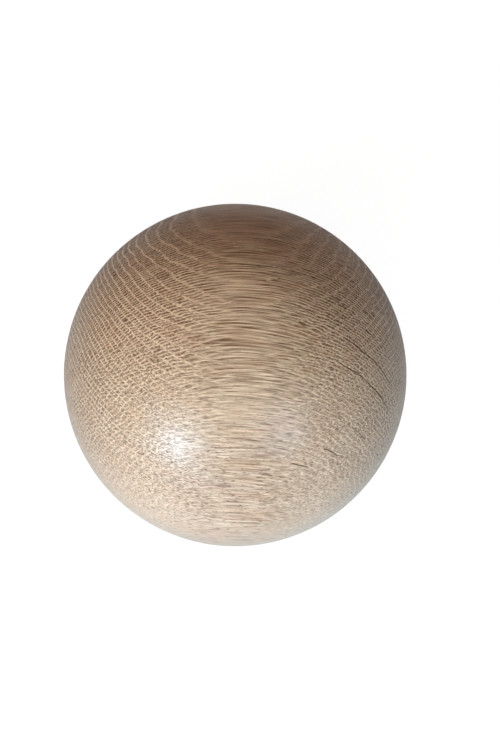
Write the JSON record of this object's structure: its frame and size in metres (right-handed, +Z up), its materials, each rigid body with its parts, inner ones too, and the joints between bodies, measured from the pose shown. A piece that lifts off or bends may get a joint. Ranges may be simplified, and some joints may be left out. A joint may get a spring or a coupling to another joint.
{
  "type": "wooden ball",
  "caption": "Solid turned hardwood ball with a clear satin finish, open-pored grain and a few fine drying checks.",
  "frame": {"origin": "centre of the ball", "axes": "+Z up; +X follows the wood's fibres to within about 6 degrees"},
  "size_m": [0.1, 0.1, 0.1],
  "materials": {
    "oak": "clear satin varnish over open-pored oak"
  },
  "bodies": {
    "root": {"ball": "oak"}
  },
  "joints": []
}
